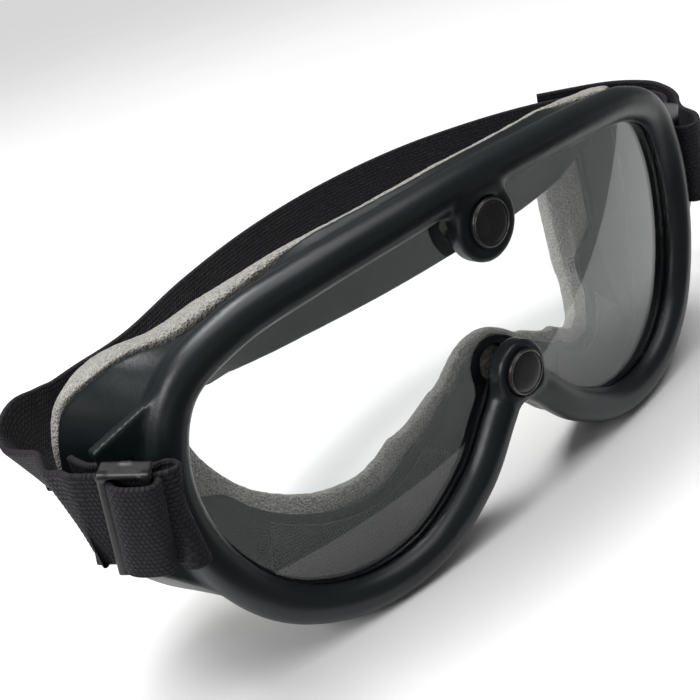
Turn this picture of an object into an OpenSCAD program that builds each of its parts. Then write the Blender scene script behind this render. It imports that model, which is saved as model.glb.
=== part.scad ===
// Single-lens wrap goggles: moulded frame, snapped-in curved lens, foam face pad and elastic headband.
// X runs across the face, +Y runs from the lens to the face and +Z is up.
// The origin is the middle of the seat that the face pad offers to the wearer.

/* [Frame] */
// Half width of the rim, on its centre line
half_w = 84; // [78:0.5:90]
// Radius of the round rim bead
rim_r = 4.5; // [4:0.1:5]
// Radius of the front of the frame, seen from above
front_r = 333; // [280:1:420]
// Depth from the rim's centre line to the face seat, at the nose
seat_depth = 16; // [15:0.5:18]
// Width of the inward flange at the brow
flange_w = 18; // [16:0.5:19]
// Width of the inward flange under the eyes
cheek_flange_w = 15; // [13:0.5:16]
// Width of the inward flange at the temples
temple_flange_w = 6; // [5:0.5:8]
// Width of the inward flange over the nose
nose_flange_w = 8.5; // [8:0.5:10]
// Thickness of the frame's walls
wall = 2; // [1.6:0.1:2.4]
// How far the bulge behind each strap ear stands out
ear_bulge = 9.5; // [6:0.5:10]
// How much shallower the frame is above the outer corners of the eyes
brow_dip = 7; // [0:0.5:7.5]

/* [Lens] */
// Thickness of the lens
lens_t = 1.2; // [1:0.1:1.4]
// How far the lens edge reaches into the rim
lens_bite = 1.5; // [1:0.1:1.6]

/* [Face pad] */
// Thickness of the foam at the nose
foam_t = 5; // [4:0.5:6]
// Extra thickness of the foam at the temples
foam_temple_t = 3; // [2:0.5:4]

/* [Snap fasteners] */
// Radius of a snap cap
cap_r = 5.8; // [5.4:0.1:6.2]
// Radius of the boss at the brow
brow_boss_r = 8.9; // [8.5:0.1:9.4]
// Radius of the boss at the nose
nose_boss_r = 7.6; // [7.2:0.1:8]
// Height of the brow snap above the origin
brow_snap_z = 28.6; // [28:0.1:29.5]
// Height of the nose snap, below the origin
nose_snap_z = -9.2; // [-10:0.1:-8.6]

/* [Headband] */
// Width of the webbing
strap_w = 22.5; // [21:0.5:23]
// Thickness of the webbing
strap_t = 1.5; // [1.2:0.1:1.6]
// Tilt of the slack loop above the ears
strap_tilt = 6.5; // [4:0.5:7]

/* [Slide] */
// Length of the slide along the webbing
slide_len = 10; // [9:0.5:10]
// Thickness of each bar
slide_bar_t = 1.2; // [1:0.1:1.3]

/* [Hidden] */

$fn = 64;
gap = 0.1;              // clearance between seated pieces
glue_gap = 0.25;        // bond line between the foam and the moulding
steps = 4;              // curve steps between two outline points

// Right half of the rim's centre line, from the brow to the nose, in X and Z.
half_outline = [[0, 38], [22.5, 37.3], [44.3, 35.8], [63, 33], [77.4, 25.3], [84, 8.2], [82.1, -12],
                [72.2, -29.5], [55.2, -39.1], [35.8, -39.1], [18.6, -30], [7.5, -18.2], [0, -11.2]];
half_n = len(half_outline);
scale_x = half_w / 84;
outline = [for (i = [0:1:half_n - 1]) [half_outline[i][0] * scale_x, half_outline[i][1]],
           for (i = [half_n - 2:-1:1]) [-half_outline[i][0] * scale_x, half_outline[i][1]]];

// One point of a Catmull-Rom curve from b to c, with neighbours a and d.
function spline(a, b, c, d, t) =
    0.5 * (2 * b + (c - a) * t + (2 * a - 5 * b + 4 * c - d) * t * t
           + (3 * b - a - 3 * c + d) * t * t * t);
// A closed curve through every point, with the given steps between two points.
function closed_curve(p, k) = let (n = len(p))
    [for (i = [0:n - 1]) for (j = [0:k - 1])
        spline(p[(i + n - 1) % n], p[i], p[(i + 1) % n], p[(i + 2) % n], j / k)];
// An open curve through every point.
function open_curve(p, k) = let (n = len(p))
    [for (i = [0:n - 2]) for (j = [0:k - 1])
        spline(p[max(i - 1, 0)], p[i], p[i + 1], p[min(i + 2, n - 1)], j / k), p[n - 1]];
function unit(v) = v / norm(v);
// Outward normals of a closed clockwise curve.
function closed_normals(p) = let (n = len(p))
    [for (i = [0:n - 1]) let (t = unit(p[(i + 1) % n] - p[(i + n - 1) % n])) [-t[1], t[0]]];
// Left-hand normals of an open curve.
function open_normals(p) = let (n = len(p))
    [for (i = [0:n - 1]) let (t = unit(p[min(i + 1, n - 1)] - p[max(i - 1, 0)])) [-t[1], t[0]]];

rim = closed_curve(outline, steps);
rim_normal = closed_normals(rim);
stations = len(rim);

// Depth of the front surface at a distance x from the middle.
function front_y(x) = -seat_depth + front_r - sqrt(front_r * front_r - x * x);
// 0 at the nose and brow, 1 at the temples.
function side(x) = pow(x / half_w, 2);
// Eases from 0 at a to 1 at b.
function ease(a, b, v) = let (s = min(max((v - a) / (b - a), 0), 1)) s * s * (3 - 2 * s);

// Depths behind the front surface of the flange's outer and inner edges.
function outer_d(p) = 6 + 12.5 * side(p[0]) + 8 * ease(0.78, 1, abs(p[0]) / half_w) - brow_dip * dip(p);
function inner_d(x) = 10.8 + 18 * side(x);
// Share of a station that belongs to the dip above the outer corner of an eye.
function dip(p) = ease(18, 27, p[1]) * ease(0.45, 0.75, abs(p[0]) / half_w);
// Offsets of the outer wall and of the pad's outer side. Both bulge at the temples.
function wall_off(p) = 2.6 + 2 * ease(5, 25, p[1]) * ease(0.62, 0.4, abs(p[0]) / half_w) + bulge(p[0]);
function pad_off(p) = 4 + bulge(p[0]) - 1.5 * ease(0.82, 1, abs(p[0]) / half_w);
function bulge(x) = ear_bulge * ease(0.82, 1, abs(x) / half_w);
// Share of a station that belongs to the temple, to the cheek and to the nose.
function temple(p) = ease(0.8, 0.97, abs(p[0]) / half_w) * ease(-24, -8, p[1]);
function cheek(p) = ease(5, -15, p[1]);
function nose(p) = p[1] < 0 ? ease(20, 0, abs(p[0])) : 0;
function mix(a, b, t) = a + (b - a) * t;
function flange_edge(p) = mix(mix(mix(flange_w, cheek_flange_w, cheek(p)), temple_flange_w, temple(p)),
                              nose_flange_w, nose(p));
// Offset of the pad's inner edge.
function pad_edge(p) = mix(flange_w + 0.6, nose_flange_w + 1.5, nose(p));
// Depth of the flange's back at an offset between its outer and inner edges.
function flange_d(p, off) = let (w = wall_off(p) - 0.6)
    mix(outer_d(p), inner_d(p[0]), (w - off) / (w + flange_w));

bead_angles = [188, 205, 225, 247, 270, 293, 315, 338, 360, 385, 410];
groove_d = [0.6, 0.6 + lens_t + 2 * gap];
groove_off = -rim_r + lens_bite + gap;

// Frame profile at one station: offsets outward from the rim's centre line and depths behind it.
function frame_profile(p) = let (w = wall_off(p), a = outer_d(p), e = flange_edge(p),
                                 b = flange_d(p, -e), shoulder = rim_r - 0.1)
    [for (t = bead_angles) [rim_r * cos(t), rim_r * sin(t)],
     [w, a - 1.2], [w - 0.6, a],
     [-e + 0.3, b], [-e, b - wall / 2], [-e + 0.3, b - wall],
     [w - wall - 0.6, max(a - wall - 0.6, shoulder)], [-1.8, 3.9], [-rim_r, 3],
     [-rim_r, groove_d[1]], [groove_off, groove_d[1]], [groove_off, groove_d[0]], [-rim_r + 0.04, groove_d[0]]];

// Face pad profile at one station. The foam is thicker by d where the frame dips.
function pad_profile(p) = let (w = pad_off(p), a = outer_d(p) + glue_gap, e = pad_edge(p),
                               d = brow_dip * dip(p), b = flange_d(p, -e) + glue_gap,
                               t = foam_t + foam_temple_t * side(p[0]), q = min(wall_off(p) - 0.6, w - 0.9))
    [[w - 0.4, a + 0.2], [w, a + 2.2], [w - 0.9, a + 0.5 * (t + d) + 1.8], [w - 4.3, a + t + d + 1.6],
     [-e / 2, mix(a, b, 0.5) + t + d / 2 + 0.6], [-e + 3.5, b + t], [-e + 0.4, b + 0.7 * t], [-e, b + 0.3 * t],
     [-e + 0.5, b], [q, flange_d(p, q) + glue_gap]];

function swept_point(i, q) = let (x = rim[i][0]) [rim[i][0] + rim_normal[i][0] * q[0], front_y(x) + q[1],
                                                  rim[i][1] + rim_normal[i][1] * q[0]];

// A closed ring that carries a profile round the whole rim. Two rings that lie against each other
// take opposite diagonals, because their profiles run along the shared face in opposite directions.
module rim_ring(profile, other_diagonal = false) {
    m = len(profile[0]);
    points = [for (i = [0:stations - 1]) for (q = profile[i]) swept_point(i, q)];
    faces = [for (i = [0:stations - 1]) let (k = (i + 1) % stations) for (j = [0:m - 1]) let (l = (j + 1) % m)
        each other_diagonal ? [[i * m + j, i * m + l, k * m + j], [i * m + l, k * m + l, k * m + j]]
                            : [[i * m + j, i * m + l, k * m + l], [i * m + j, k * m + l, k * m + j]]];
    polyhedron(points, faces, convexity = 8);
}

// A closed strip that carries a four-sided profile from one station to another.
module rim_strip(first, last, profile) {
    m = 4;
    n = last - first + 1;
    points = [for (i = [first:last]) for (q = profile[i]) swept_point(i, q)];
    sides = [for (i = [0:n - 2]) for (j = [0:m - 1]) let (l = (j + 1) % m)
        each [[i * m + j, i * m + l, (i + 1) * m + l], [i * m + j, (i + 1) * m + l, (i + 1) * m + j]]];
    caps = [[2, 1, 0], [3, 2, 0], [(n - 1) * m, (n - 1) * m + 1, (n - 1) * m + 2],
            [(n - 1) * m, (n - 1) * m + 2, (n - 1) * m + 3]];
    polyhedron(points, concat(sides, caps), convexity = 8);
}

// A layer of the curved front, from depth d0 to depth d1, cut to a flat outline.
module front_layer(d0, d1) {
    intersection() {
        translate([0, 60, 0]) rotate([90, 0, 0]) linear_extrude(120) children();
        translate([0, front_r - seat_depth, -60]) difference() {
            cylinder(h = 120, r = front_r - d0, $fn = 256);
            translate([0, 0, -1]) cylinder(h = 122, r = front_r - d1, $fn = 256);
        }
    }
}

// A cylinder whose axis runs along Y from y0 to y1.
module y_cylinder(x, z, y0, y1, r) {
    translate([x, y0, z]) rotate([-90, 0, 0]) cylinder(h = y1 - y0, r = r);
}

// A flat ribbon outline of thickness t along a plan path, which is then stood on edge.
module ribbon(path, t, width, tilt = 0, lift = 0) {
    n = open_normals(path);
    left = [for (i = [0:len(path) - 1]) path[i] + n[i] * t / 2];
    right = [for (i = [len(path) - 1:-1:0]) path[i] - n[i] * t / 2];
    translate([0, ear_y, strap_z]) rotate([tilt, 0, 0])
        translate([0, -ear_y, lift - width / 2]) linear_extrude(width) polygon(concat(left, right));
}

// ---- strap ears and webbing ----
// The headband swings about the line along X through both strap slots, at ear_y and strap_z.
ear_y = front_y(half_w) + 1.2;
strap_z = 5.8;
slot_x = 90.4;
slot_w = 3;
slot_h = strap_w + 1;
ear_outline = [[66, 33], [95, 22], [95.3, 21], [94.6, 19.4], [94.6, -7], [93.6, -8.6], [84, -19],
               [80, -17], [83, -8], [84, 8], [77, 24]];

module ear(hand) {
    mirror([hand < 0 ? 1 : 0, 0, 0]) front_layer(-1.5, 1.5) difference() {
        polygon(ear_outline);
        translate([slot_x - slot_w / 2, strap_z - slot_h / 2]) square([slot_w, slot_h]);
    }
}

// Solid boss that hangs from the rim and carries a snap.
boss_front = -4.2;
boss_back = 0.5;
module boss(z, r) {
    y_cylinder(0, z, boss_front - seat_depth, boss_back - seat_depth, r);
}
module boss_bore(z) {
    y_cylinder(0, z, boss_front - seat_depth - 2, boss_back - seat_depth + 2, post_r + 0.05);
    y_cylinder(0, z, -1.9 - seat_depth, boss_back - seat_depth + 2, socket_r + gap);
    y_cylinder(0, z, boss_front - seat_depth - 2, cap_seat - seat_depth, cap_r + gap);
}
post_r = 1.4;
socket_r = 4.5;
cap_seat = -3.9;

module frame() color([0.05, 0.06, 0.065]) difference() {
    union() {
        rim_ring([for (p = rim) frame_profile(p)]);
        ear(1);
        ear(-1);
        boss(brow_snap_z, brow_boss_r);
        boss(nose_snap_z, nose_boss_r);
    }
    boss_bore(brow_snap_z);
    boss_bore(nose_snap_z);
    lens_relief();
}
// Room for the lens behind the bosses.
module lens_relief() front_layer(groove_d[0] - gap, groove_d[1]) lens_outline();
module lens_outline() polygon([for (i = [0:stations - 1]) rim[i] + rim_normal[i] * (groove_off - gap)]);

module lens() color([0.85, 0.87, 0.88, 0.35]) difference() {
    front_layer(groove_d[0] + gap, groove_d[1] - gap) lens_outline();
    lens_hole(brow_snap_z);
    lens_hole(nose_snap_z);
}
eyelet_r = 1.2;
module lens_hole(z) y_cylinder(0, z, -seat_depth - 5, -seat_depth + 8, eyelet_r + 0.05);

module face_pad() color([0.5, 0.49, 0.46]) rim_ring([for (p = rim) pad_profile(p)], true);

// Snap pieces, front to back: cap, socket, stud and eyelet.
module snap_cap(z) color([0.1, 0.1, 0.1]) translate([0, -seat_depth, z]) rotate([-90, 0, 0]) rotate_extrude()
    polygon([[0, -5.5], [3.5, -5.4], [cap_r - 0.5, -5], [cap_r, -4.6], [cap_r, cap_seat],
             [post_r, cap_seat], [post_r, -0.6], [0, -0.6]]);
module snap_socket(z) color([0.35, 0.35, 0.36]) translate([0, -seat_depth, z]) rotate([-90, 0, 0])
    rotate_extrude() polygon([[post_r, -1.8], [socket_r, -1.8], [socket_r, -1.1], [3.6, -1.1],
                              [3.6, 0.2], [2.9, 0.2], [2.9, -1.1], [post_r, -1.1]]);
module snap_stud(z) color([0.35, 0.35, 0.36]) translate([0, -seat_depth, z]) rotate([-90, 0, 0])
    rotate_extrude() polygon([[eyelet_r, -0.45], [2.4, -0.45], [2.7, 0], [2.6, 0.35], [4.2, 0.35],
                              [4.2, groove_d[0] + gap], [eyelet_r, groove_d[0] + gap]]);
module snap_eyelet(z) color([0.35, 0.35, 0.36]) translate([0, -seat_depth, z]) rotate([-90, 0, 0])
    rotate_extrude() polygon([[0.7, -0.3], [eyelet_r, -0.3], [eyelet_r, groove_d[1]],
                              [3.6, groove_d[1]], [3.6, groove_d[1] + 0.5], [0.7, groove_d[1] + 0.5]]);

// Cloth strips on the inner face of the flange under each eye, from near the rim to near its free edge.
screen_t = 0.5;
screen_gap = 0.45;
function screen_profile(p) = let (w = wall_off(p), a = outer_d(p), e = flange_edge(p),
                                  outer = [w - wall - 0.6, max(a - wall - 0.6, rim_r - 0.1)],
                                  inner = [-e + 0.3, flange_d(p, -e) - wall],
                                  c = outer + (inner - outer) * 0.18, d = outer + (inner - outer) * 0.86)
    [c - [0, screen_gap], d - [0, screen_gap],
     d - [0, screen_gap + screen_t], c - [0, screen_gap + screen_t]];
module screen(first, last) color([0.08, 0.08, 0.08])
    rim_strip(first, last, [for (p = rim) screen_profile(p)]);
module lower_vent_screen_left() screen(29, 41);
module lower_vent_screen_right() screen(stations - 41, stations - 29);

// Plan of the slack headband, from the wearer's right side (-X) round the back to the left.
band_plan = [[-101.5, 34], [-101.5, 46], [-99, 55], [-91, 58.5], [-78, 59], [-62, 62], [-38, 73], [-10, 82],
             [20, 86], [50, 84], [76, 76], [96, 65], [110, 51], [114, 40], [113, 32]];
band_path = [for (p = open_curve(band_plan, 4)) p - [0, seat_depth]];
module headband() color([0.07, 0.06, 0.08]) ribbon(band_path, strap_t, strap_w, strap_tilt);

// Second layer where the end of the webbing is folded back and sewn.
tail_plan = [[97, 67.2], [112, 52.4], [116.6, 40.6], [115.5, 32.5]];
module headband_tail() color([0.07, 0.06, 0.08])
    ribbon([for (p = open_curve(tail_plan, 5)) p - [0, seat_depth]], strap_t, strap_w, strap_tilt, 2);

// The slide's own axes: X along the webbing, Y out of its face and Z across it.
slide_mid = [-94.9, -10.6, 9];
slide_turn = 138;       // about Z, from the line across the face
slide_lean = [-8, -13.5, 0];
module at_slide() {
    translate(slide_mid) rotate([0, 0, slide_turn]) rotate(slide_lean) children();
}
slide_travel = 3;

// Webbing at the wearer's right ear: straight through the slide, then round into the slot.
module strap_end_right() color([0.07, 0.06, 0.08]) {
    turn = [[-90.8, 1.7], [-89.6, 0.6], [-88, 0.1], [-86.4, 1.2], [-86.3, 3.2], [-88.4, 7], [-slot_x, 11],
            [-slot_x, 14.2], [-92.6, 17.6], [-98, 21.6], [-102.5, 24.4]];
    first = -slide_len / 2 - 1.6;
    last = slide_len / 2 + slide_travel + 1;
    at_slide() translate([first, -strap_t / 2, -strap_w / 2]) cube([last - first, strap_t, strap_w]);
    ribbon([for (p = open_curve(turn, 4)) p - [0, seat_depth]], strap_t, strap_w);
}
module strap_end_left() color([0.07, 0.06, 0.08])
    ribbon([for (p = open_curve([[107, 21], [102, 12.5], [95.5, 7.4], [91, 7.6], [slot_x, 11.5], [slot_x, 14.5],
                                 [93.4, 18], [100, 22.5]], 4)) p - [0, seat_depth]], strap_t, strap_w);

// Tri-glide: two bars in front of the webbing, one behind it, joined by a rail above and a rail below.
rail_h = 1.1;
slide_gap = 0.3;
slide_h = strap_w + 2 * rail_h + 2 * slide_gap;
front_bar_w = 1.9;
back_bar_w = 2.6;
module strap_slide() color([0.09, 0.09, 0.08]) at_slide() {
    depth = strap_t / 2 + slide_gap;
    for (s = [-1, 1]) {
        translate([s * (slide_len - front_bar_w) / 2 - front_bar_w / 2, depth, -slide_h / 2])
            cube([front_bar_w, slide_bar_t, slide_h]);
        translate([-slide_len / 2, -depth - slide_bar_t, s * (slide_h - rail_h) / 2 - rail_h / 2])
            cube([slide_len, 2 * depth + 2 * slide_bar_t, rail_h]);
    }
    translate([-back_bar_w / 2, -depth - slide_bar_t, -slide_h / 2]) cube([back_bar_w, slide_bar_t, slide_h]);
}

module brow_snap_cap() snap_cap(brow_snap_z);
module brow_snap_socket() snap_socket(brow_snap_z);
module brow_snap_stud() snap_stud(brow_snap_z);
module brow_snap_eyelet() snap_eyelet(brow_snap_z);
module nose_snap_cap() snap_cap(nose_snap_z);
module nose_snap_socket() snap_socket(nose_snap_z);
module nose_snap_stud() snap_stud(nose_snap_z);
module nose_snap_eyelet() snap_eyelet(nose_snap_z);

frame();
lens();
face_pad();
lower_vent_screen_left();
lower_vent_screen_right();
brow_snap_cap();
brow_snap_socket();
brow_snap_stud();
brow_snap_eyelet();
nose_snap_cap();
nose_snap_socket();
nose_snap_stud();
nose_snap_eyelet();
headband();
headband_tail();
strap_end_left();
strap_end_right();
strap_slide();
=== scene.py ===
"""Wrap-around goggles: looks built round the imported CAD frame.

Lengths are worked out in millimetres and stored in metres. X runs across the face, Y from the lens
to the face and Z up. A depth is measured behind the front of the frame, and an offset outward from
the centre line of its rim.
"""

import math

import bpy
import numpy as np
import openvdb
from mathutils import Matrix, Vector


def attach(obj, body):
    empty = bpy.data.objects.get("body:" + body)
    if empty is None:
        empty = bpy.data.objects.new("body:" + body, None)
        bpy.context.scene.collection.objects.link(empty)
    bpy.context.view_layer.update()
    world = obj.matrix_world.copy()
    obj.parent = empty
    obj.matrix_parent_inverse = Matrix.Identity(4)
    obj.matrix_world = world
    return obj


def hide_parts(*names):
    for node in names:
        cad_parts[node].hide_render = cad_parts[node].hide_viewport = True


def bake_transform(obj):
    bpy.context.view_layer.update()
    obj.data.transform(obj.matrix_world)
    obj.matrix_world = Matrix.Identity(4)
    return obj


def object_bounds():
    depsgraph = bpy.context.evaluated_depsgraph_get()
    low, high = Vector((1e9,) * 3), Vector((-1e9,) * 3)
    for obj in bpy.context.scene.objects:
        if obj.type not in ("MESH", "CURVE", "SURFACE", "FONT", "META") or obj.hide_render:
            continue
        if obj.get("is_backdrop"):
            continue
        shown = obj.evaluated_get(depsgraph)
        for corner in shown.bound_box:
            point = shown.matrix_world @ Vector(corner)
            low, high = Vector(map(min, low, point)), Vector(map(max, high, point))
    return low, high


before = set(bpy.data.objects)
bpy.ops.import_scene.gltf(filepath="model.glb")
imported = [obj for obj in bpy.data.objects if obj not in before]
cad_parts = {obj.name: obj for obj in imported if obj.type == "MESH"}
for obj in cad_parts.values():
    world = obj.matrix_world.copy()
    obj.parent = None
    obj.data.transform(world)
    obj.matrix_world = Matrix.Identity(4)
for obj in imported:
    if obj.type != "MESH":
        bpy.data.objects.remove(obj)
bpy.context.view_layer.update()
MM = 0.001

# ---------------------------------------------------------------- shape of the CAD part, in mm
HALF_W, RIM_R, FRONT_R, SEAT = 84.0, 4.5, 333.0, 16.0
FLANGE, CHEEK_FLANGE, TEMPLE_FLANGE, NOSE_FLANGE, WALL = 18.0, 15.0, 6.0, 8.5, 2.0
LENS_T, LENS_BITE, GAP, GLUE = 1.2, 1.5, 0.1, 0.25
FOAM_T, FOAM_TEMPLE = 5.0, 3.0
EAR_BULGE, BROW_DIP = 9.5, 7.0
CAP_R, BROW_BOSS_R, NOSE_BOSS_R, BROW_Z, NOSE_Z = 5.8, 8.9, 7.6, 28.6, -9.2
STRAP_W, STRAP_T, STRAP_Z, STRAP_TILT = 22.5, 1.5, 5.8, 6.5
SLOT_X, SLOT_W = 90.4, 3.0
GROOVE_D = (0.6, 0.6 + LENS_T + 2 * GAP)    # depths of the groove that holds the lens
SHOULDER_D = RIM_R - 0.1                    # least depth of the flange's front face
SLIDE_LEN, SLIDE_H, RAIL_H, BAR_T = 10.0, 25.3, 1.1, 1.2
SLIDE_TURN, SLIDE_LEAN, SLIDE_TIP = 138, -13.5, -8      # degrees about Z, Y and X
RIM_STEPS, CAD_STEPS = 24, 4                # curve steps between two outline points, here and in the CAD part
HALF_OUTLINE = [(0, 38), (22.5, 37.3), (44.3, 35.8), (63, 33), (77.4, 25.3), (84, 8.2), (82.1, -12),
                (72.2, -29.5), (55.2, -39.1), (35.8, -39.1), (18.6, -30), (7.5, -18.2), (0, -11.2)]
OUTLINE = np.array(HALF_OUTLINE + [(-x, z) for x, z in HALF_OUTLINE[-2:0:-1]], float)
EAR = np.array([(66, 33), (95, 22), (95.3, 21), (94.6, 19.4), (94.6, -7), (93.6, -8.6), (84, -19), (80, -17),
                (83, -8), (84, 8), (77, 24)], float)
EAR_Y = -SEAT + FRONT_R - math.sqrt(FRONT_R ** 2 - HALF_W ** 2) + 1.2


def closed_curve(p, k):
    """Catmull-Rom through closed points, k steps between two of them."""
    p = np.asarray(p, float)
    a, b, c, d = np.roll(p, 1, 0), p, np.roll(p, -1, 0), np.roll(p, -2, 0)
    t = (np.arange(k) / k)[None, :, None]
    a, b, c, d = (v[:, None, :] for v in (a, b, c, d))
    q = 0.5 * (2 * b + (c - a) * t + (2 * a - 5 * b + 4 * c - d) * t ** 2 + (3 * b - a - 3 * c + d) * t ** 3)
    return q.reshape(-1, p.shape[1])


def open_curve(p, k):
    p = np.asarray(p, float)
    e = np.vstack([p[0], p, p[-1]])
    out = []
    for i in range(len(p) - 1):
        a, b, c, d = e[i], e[i + 1], e[i + 2], e[i + 3]
        for j in range(k):
            t = j / k
            out.append(0.5 * (2 * b + (c - a) * t + (2 * a - 5 * b + 4 * c - d) * t * t
                              + (3 * b - a - 3 * c + d) * t ** 3))
    out.append(p[-1])
    return np.array(out)


def rim_normals(rim):
    """Outward normals of the closed rim curve."""
    t = np.roll(rim, -1, 0) - np.roll(rim, 1, 0)
    t /= np.linalg.norm(t, axis=1)[:, None]
    return np.stack([-t[:, 1], t[:, 0]], 1)


def lengths(path):
    """Distance along a path to each of its points."""
    return np.concatenate([[0], np.cumsum(np.linalg.norm(np.diff(path, axis=0), axis=1))])


def even(path, step):
    """The same path with points an even step apart."""
    path = np.asarray(path, float)
    s = lengths(path)
    n = max(2, int(round(s[-1] / step)) + 1)
    u = np.linspace(0, s[-1], n)
    return np.stack([np.interp(u, s, path[:, i]) for i in range(path.shape[1])], 1)


def ease(a, b, v):
    s = np.clip((np.asarray(v, float) - a) / (b - a), 0, 1)
    return s * s * (3 - 2 * s)


def mix(a, b, t):
    return a + (b - a) * t


def front_y(x):
    return -SEAT + FRONT_R - np.sqrt(FRONT_R ** 2 - np.asarray(x, float) ** 2)


def side(x):
    return (np.asarray(x, float) / HALF_W) ** 2


def dip(x, z):
    """Share of a place on the rim that belongs to the dip above the outer corner of an eye."""
    return ease(18, 27, z) * ease(0.45, 0.75, abs(x) / HALF_W)


def outer_d(x, z):
    return 6 + 12.5 * side(x) + 8 * ease(0.78, 1, abs(x) / HALF_W) - BROW_DIP * dip(x, z)


def inner_d(x):
    return 10.8 + 18 * side(x)


def wall_off(x, z):
    return 2.6 + 2 * ease(5, 25, z) * ease(0.62, 0.4, abs(x) / HALF_W) + EAR_BULGE * ease(0.82, 1, abs(x) / HALF_W)


def pad_off(x):
    return 4 + (EAR_BULGE - 1.5) * ease(0.82, 1, abs(x) / HALF_W)


def nose(x, z):
    return np.where(np.asarray(z) < 0, ease(20, 0, abs(x)), 0)


def flange_edge(x, z):
    temple = ease(0.8, 0.97, abs(x) / HALF_W) * ease(-24, -8, z)
    e = mix(FLANGE, CHEEK_FLANGE, ease(5, -15, z))
    return mix(mix(e, TEMPLE_FLANGE, temple), NOSE_FLANGE, nose(x, z))


def pad_edge(x, z):
    return mix(FLANGE + 0.6, NOSE_FLANGE + 1.5, nose(x, z))


def flange_d(x, z, off):
    w = wall_off(x, z) - 0.6
    return mix(outer_d(x, z), inner_d(x), (w - off) / (w + FLANGE))


# ---------------------------------------------------------------- noise and distance fields
def value_noise(p, size, seed):
    """Smooth noise from -1 to 1 at points p (n, 3), with lumps about size across."""
    rng = np.random.default_rng(seed)
    table = rng.uniform(-1, 1, 4096).astype(np.float32)
    q = np.asarray(p) / size
    i = np.floor(q).astype(np.int64)
    f = q - i
    f = f * f * (3 - 2 * f)
    out = np.zeros(len(q))
    for dx in (0, 1):
        for dy in (0, 1):
            for dz in (0, 1):
                h = ((i[:, 0] + dx) * 73856093 ^ (i[:, 1] + dy) * 19349663 ^ (i[:, 2] + dz) * 83492791) & 4095
                w = (f[:, 0] if dx else 1 - f[:, 0]) * (f[:, 1] if dy else 1 - f[:, 1]) \
                    * (f[:, 2] if dz else 1 - f[:, 2])
                out += table[h] * w
    return out


def polygon_distance(px, py, poly):
    """Signed distance (inside negative) from points to a polygon, whose corners may differ from point to point."""
    best = np.full(px.shape, 1e9)
    inside = np.zeros(px.shape, bool)
    n = len(poly)
    for i in range(n):
        ax, ay = poly[i]
        bx, by = poly[(i + 1) % n]
        ex, ey = bx - ax, by - ay
        wx, wy = px - ax, py - ay
        t = np.clip((wx * ex + wy * ey) / (ex * ex + ey * ey + 1e-12), 0, 1)
        best = np.minimum(best, (wx - t * ex) ** 2 + (wy - t * ey) ** 2)
        cross = ((ay > py) != (by > py)) & (px < ex * (py - ay) / (ey + (abs(ey) < 1e-9) * 1e-9) + ax)
        inside ^= cross
    return np.sqrt(best) * np.where(inside, -1, 1)


def blend_union(a, b, k):
    h = np.clip(0.5 + 0.5 * (b - a) / k, 0, 1)
    return b + (a - b) * h - k * h * (1 - h)


def cut(a, b, k=0.3):
    """a without b, with a softened edge."""
    return -blend_union(-a, b, k)


def extrude(flat, depth, half, r):
    """Distance to a flat shape given a half thickness, with edges rounded by r."""
    u, v = flat + r, abs(depth) - half + r
    return np.minimum(np.maximum(u, v), 0) + np.sqrt(np.maximum(u, 0) ** 2 + np.maximum(v, 0) ** 2) - r


def surface(field, lo, step):
    """Quads on the zero level of a distance field."""
    g = openvdb.FloatGrid()
    g.copyFromArray(np.clip(field, -2, 2).astype(np.float32))
    points, quads = g.convertToQuads(0.0)
    return np.asarray(points, float) * step + np.asarray(lo, float), np.asarray(quads)[:, ::-1]


# ---------------------------------------------------------------- objects
def mesh_piece(name, points, faces, body, material):
    """A smooth-shaded mesh from points in millimetres, attached to the body if one is given."""
    me = bpy.data.meshes.new(name)
    me.from_pydata((np.asarray(points) * MM).tolist(), [], [list(map(int, f)) for f in faces])
    me.validate()
    me.polygons.foreach_set("use_smooth", [True] * len(me.polygons))
    me.materials.append(material)
    me.update()
    ob = bpy.data.objects.new(name, me)
    bpy.context.scene.collection.objects.link(ob)
    if body:
        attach(ob, body)
    return ob


def smooth_points(points, quads, rounds, share=0.5):
    """Laplacian smoothing of a quad mesh."""
    n = len(points)
    a = quads[:, [0, 1, 2, 3]].ravel()
    b = quads[:, [1, 2, 3, 0]].ravel()
    count = np.bincount(a, minlength=n) + np.bincount(b, minlength=n)
    p = points.copy()
    for _ in range(rounds):
        s = np.zeros_like(p)
        for c in range(3):
            s[:, c] = np.bincount(a, p[b, c], n) + np.bincount(b, p[a, c], n)
        p += share * (s / np.maximum(count, 1)[:, None] - p)
    return p


def lathe(profile, centre, n=96):
    """Ring of faces from a profile of (radius, y) about an axis along Y."""
    cx, cy, cz = centre
    a = np.arange(n) * 2 * math.pi / n
    points, faces, rows = [], [], []
    for r, y in profile:
        if r < 1e-6:
            rows.append([len(points)] * n)
            points.append((cx, cy + y, cz))
        else:
            rows.append(list(range(len(points), len(points) + n)))
            points += [(cx + r * math.cos(t), cy + y, cz + r * math.sin(t)) for t in a]
    for r0, r1 in zip(rows, rows[1:]):
        for i in range(n):
            j = (i + 1) % n
            f = [r0[i], r1[i], r1[j], r0[j]]
            f = [v for k, v in enumerate(f) if v not in f[:k]]
            if len(f) > 2:
                faces.append(f)
    return points, faces


# ---------------------------------------------------------------- materials
def new_material(name, colour, roughness, metallic=0.0):
    m = bpy.data.materials.new(name)
    m.use_nodes = True
    nt = m.node_tree
    b = nt.nodes["Principled BSDF"]
    b.inputs["Base Color"].default_value = (*colour, 1)
    b.inputs["Roughness"].default_value = roughness
    b.inputs["Metallic"].default_value = metallic
    return m, nt, b


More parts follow.
